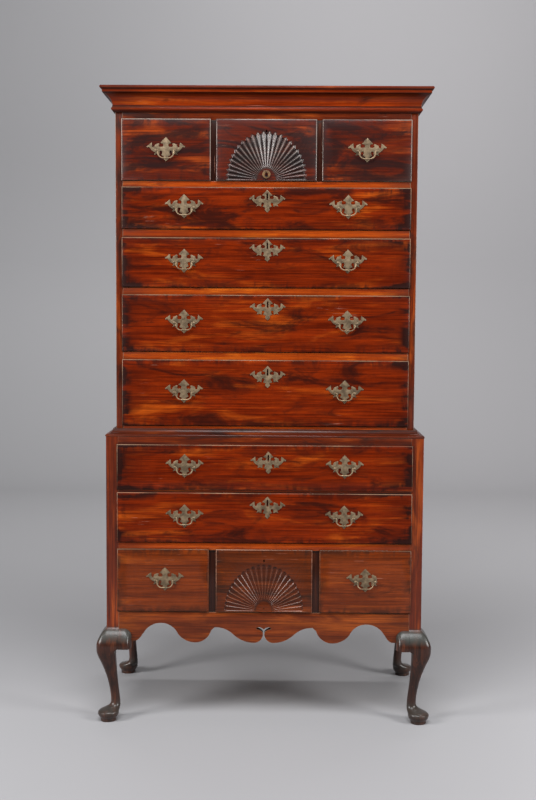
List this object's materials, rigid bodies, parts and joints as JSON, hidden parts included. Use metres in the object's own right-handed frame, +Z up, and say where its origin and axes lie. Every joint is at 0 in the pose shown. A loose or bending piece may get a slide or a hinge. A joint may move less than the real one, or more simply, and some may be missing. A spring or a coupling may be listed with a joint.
{
  "type": "flat-top high chest of drawers",
  "caption": "Tall flat-top chest in two stages on cabriole legs, with lipped drawers, carved fans, pierced brasses and a scalloped skirt.",
  "frame": {"origin": "on the floor, under the middle of the lower case in plan", "axes": "+Z up, +X to the right of someone facing the drawers, drawers open towards -Y"},
  "size_m": [0.99, 0.54, 1.86],
  "materials": {
    "case_wood": "old satin varnish over a red-brown stain",
    "drawer_front_wood": "old satin varnish, red with dark patches",
    "leg_wood": "dark old varnish with a soft gloss",
    "inner_wood": "unfinished, aged pine",
    "brass": "dull, tarnished"
  },
  "bodies": {
    "case": {"cornice_moulding": "case_wood", "legs_and_knee_blocks": "leg_wood", "lower_case_boards": "case_wood", "lower_rails_and_runners": "inner_wood", "skirt": "case_wood", "upper_case_boards": "case_wood", "upper_rails_and_runners": "inner_wood", "waist_moulding": "case_wood"},
    "lower_fan_drawer": {"lower_fan_box": "inner_wood", "lower_fan_brasses": "brass", "lower_fan_front": "drawer_front_wood"},
    "lower_first_drawer": {"lower_first_box": "inner_wood", "lower_first_brasses": "brass", "lower_first_front": "drawer_front_wood"},
    "lower_first_left_bail": {"lower_first_left_bail": "brass"},
    "lower_first_right_bail": {"lower_first_right_bail": "brass"},
    "lower_second_drawer": {"lower_second_box": "inner_wood", "lower_second_brasses": "brass", "lower_second_front": "drawer_front_wood"},
    "lower_second_left_bail": {"lower_second_left_bail": "brass"},
    "lower_second_right_bail": {"lower_second_right_bail": "brass"},
    "lower_small_left_drawer": {"lower_small_left_box": "inner_wood", "lower_small_left_brasses": "brass", "lower_small_left_front": "drawer_front_wood"},
    "lower_small_left_bail": {"lower_small_left_bail": "brass"},
    "lower_small_right_drawer": {"lower_small_right_box": "inner_wood", "lower_small_right_brasses": "brass", "lower_small_right_front": "drawer_front_wood"},
    "lower_small_right_bail": {"lower_small_right_bail": "brass"},
    "upper_fan_drawer": {"upper_fan_box": "inner_wood", "upper_fan_brasses": "brass", "upper_fan_front": "drawer_front_wood"},
    "upper_first_drawer": {"upper_first_box": "inner_wood", "upper_first_brasses": "brass", "upper_first_front": "drawer_front_wood"},
    "upper_first_left_bail": {"upper_first_left_bail": "brass"},
    "upper_first_right_bail": {"upper_first_right_bail": "brass"},
    "upper_fourth_drawer": {"upper_fourth_box": "inner_wood", "upper_fourth_brasses": "brass", "upper_fourth_front": "drawer_front_wood"},
    "upper_fourth_left_bail": {"upper_fourth_left_bail": "brass"},
    "upper_fourth_right_bail": {"upper_fourth_right_bail": "brass"},
    "upper_second_drawer": {"upper_second_box": "inner_wood", "upper_second_brasses": "brass", "upper_second_front": "drawer_front_wood"},
    "upper_second_left_bail": {"upper_second_left_bail": "brass"},
    "upper_second_right_bail": {"upper_second_right_bail": "brass"},
    "upper_small_left_drawer": {"upper_small_left_box": "inner_wood", "upper_small_left_brasses": "brass", "upper_small_left_front": "drawer_front_wood"},
    "upper_small_left_bail": {"upper_small_left_bail": "brass"},
    "upper_small_right_drawer": {"upper_small_right_box": "inner_wood", "upper_small_right_brasses": "brass", "upper_small_right_front": "drawer_front_wood"},
    "upper_small_right_bail": {"upper_small_right_bail": "brass"},
    "upper_third_drawer": {"upper_third_box": "inner_wood", "upper_third_brasses": "brass", "upper_third_front": "drawer_front_wood"},
    "upper_third_left_bail": {"upper_third_left_bail": "brass"},
    "upper_third_right_bail": {"upper_third_right_bail": "brass"}
  },
  "joints": [
    {"name": "lower_fan_slide", "type": "slide", "parent": "case", "child": "lower_fan_drawer", "axis": [0, -1, 0], "range_m": [0, 0.38]},
    {"name": "lower_first_slide", "type": "slide", "parent": "case", "child": "lower_first_drawer", "axis": [0, -1, 0], "range_m": [0, 0.38]},
    {"name": "lower_first_left_bail_swing", "type": "hinge", "parent": "lower_first_drawer", "child": "lower_first_left_bail", "pos_m": [-0.23441, -0.2532, 0.7625], "axis": [-1, 0, 0], "range_deg": [0, 95]},
    {"name": "lower_first_right_bail_swing", "type": "hinge", "parent": "lower_first_drawer", "child": "lower_first_right_bail", "pos_m": [0.23359, -0.2532, 0.7625], "axis": [-1, 0, 0], "range_deg": [0, 95]},
    {"name": "lower_second_slide", "type": "slide", "parent": "case", "child": "lower_second_drawer", "axis": [0, -1, 0], "range_m": [0, 0.38]},
    {"name": "lower_second_left_bail_swing", "type": "hinge", "parent": "lower_second_drawer", "child": "lower_second_left_bail", "pos_m": [-0.23441, -0.2532, 0.61425], "axis": [-1, 0, 0], "range_deg": [0, 95]},
    {"name": "lower_second_right_bail_swing", "type": "hinge", "parent": "lower_second_drawer", "child": "lower_second_right_bail", "pos_m": [0.23359, -0.2532, 0.61425], "axis": [-1, 0, 0], "range_deg": [0, 95]},
    {"name": "lower_small_left_slide", "type": "slide", "parent": "case", "child": "lower_small_left_drawer", "axis": [0, -1, 0], "range_m": [0, 0.38]},
    {"name": "lower_small_left_bail_swing", "type": "hinge", "parent": "lower_small_left_drawer", "child": "lower_small_left_bail", "pos_m": [-0.29196, -0.2532, 0.427], "axis": [-1, 0, 0], "range_deg": [0, 95]},
    {"name": "lower_small_right_slide", "type": "slide", "parent": "case", "child": "lower_small_right_drawer", "axis": [0, -1, 0], "range_m": [0, 0.38]},
    {"name": "lower_small_right_bail_swing", "type": "hinge", "parent": "lower_small_right_drawer", "child": "lower_small_right_bail", "pos_m": [0.29764, -0.2532, 0.427], "axis": [-1, 0, 0], "range_deg": [0, 95]},
    {"name": "upper_fan_slide", "type": "slide", "parent": "case", "child": "upper_fan_drawer", "axis": [0, -1, 0], "range_m": [0, 0.36]},
    {"name": "upper_first_slide", "type": "slide", "parent": "case", "child": "upper_first_drawer", "axis": [0, -1, 0], "range_m": [0, 0.36]},
    {"name": "upper_first_left_bail_swing", "type": "hinge", "parent": "upper_first_drawer", "child": "upper_first_left_bail", "pos_m": [-0.23841, -0.2257, 1.517], "axis": [-1, 0, 0], "range_deg": [0, 95]},
    {"name": "upper_first_right_bail_swing", "type": "hinge", "parent": "upper_first_drawer", "child": "upper_first_right_bail", "pos_m": [0.23759, -0.2257, 1.517], "axis": [-1, 0, 0], "range_deg": [0, 95]},
    {"name": "upper_fourth_slide", "type": "slide", "parent": "case", "child": "upper_fourth_drawer", "axis": [0, -1, 0], "range_m": [0, 0.36]},
    {"name": "upper_fourth_left_bail_swing", "type": "hinge", "parent": "upper_fourth_drawer", "child": "upper_fourth_left_bail", "pos_m": [-0.23841, -0.2257, 0.98], "axis": [-1, 0, 0], "range_deg": [0, 95]},
    {"name": "upper_fourth_right_bail_swing", "type": "hinge", "parent": "upper_fourth_drawer", "child": "upper_fourth_right_bail", "pos_m": [0.23259, -0.2257, 0.98], "axis": [-1, 0, 0], "range_deg": [0, 95]},
    {"name": "upper_second_slide", "type": "slide", "parent": "case", "child": "upper_second_drawer", "axis": [0, -1, 0], "range_m": [0, 0.36]},
    {"name": "upper_second_left_bail_swing", "type": "hinge", "parent": "upper_second_drawer", "child": "upper_second_left_bail", "pos_m": [-0.23841, -0.2257, 1.36], "axis": [-1, 0, 0], "range_deg": [0, 95]},
    {"name": "upper_second_right_bail_swing", "type": "hinge", "parent": "upper_second_drawer", "child": "upper_second_right_bail", "pos_m": [0.23759, -0.2257, 1.36], "axis": [-1, 0, 0], "range_deg": [0, 95]},
    {"name": "upper_small_left_slide", "type": "slide", "parent": "case", "child": "upper_small_left_drawer", "axis": [0, -1, 0], "range_m": [0, 0.36]},
    {"name": "upper_small_left_bail_swing", "type": "hinge", "parent": "upper_small_left_drawer", "child": "upper_small_left_bail", "pos_m": [-0.29111, -0.2257, 1.6795], "axis": [-1, 0, 0], "range_deg": [0, 95]},
    {"name": "upper_small_right_slide", "type": "slide", "parent": "case", "child": "upper_small_right_drawer", "axis": [0, -1, 0], "range_m": [0, 0.36]},
    {"name": "upper_small_right_bail_swing", "type": "hinge", "parent": "upper_small_right_drawer", "child": "upper_small_right_bail", "pos_m": [0.29029, -0.2257, 1.6795], "axis": [-1, 0, 0], "range_deg": [0, 95]},
    {"name": "upper_third_slide", "type": "slide", "parent": "case", "child": "upper_third_drawer", "axis": [0, -1, 0], "range_m": [0, 0.36]},
    {"name": "upper_third_left_bail_swing", "type": "hinge", "parent": "upper_third_drawer", "child": "upper_third_left_bail", "pos_m": [-0.23841, -0.2257, 1.1835], "axis": [-1, 0, 0], "range_deg": [0, 95]},
    {"name": "upper_third_right_bail_swing", "type": "hinge", "parent": "upper_third_drawer", "child": "upper_third_right_bail", "pos_m": [0.23759, -0.2257, 1.1835], "axis": [-1, 0, 0], "range_deg": [0, 95]}
  ]
}
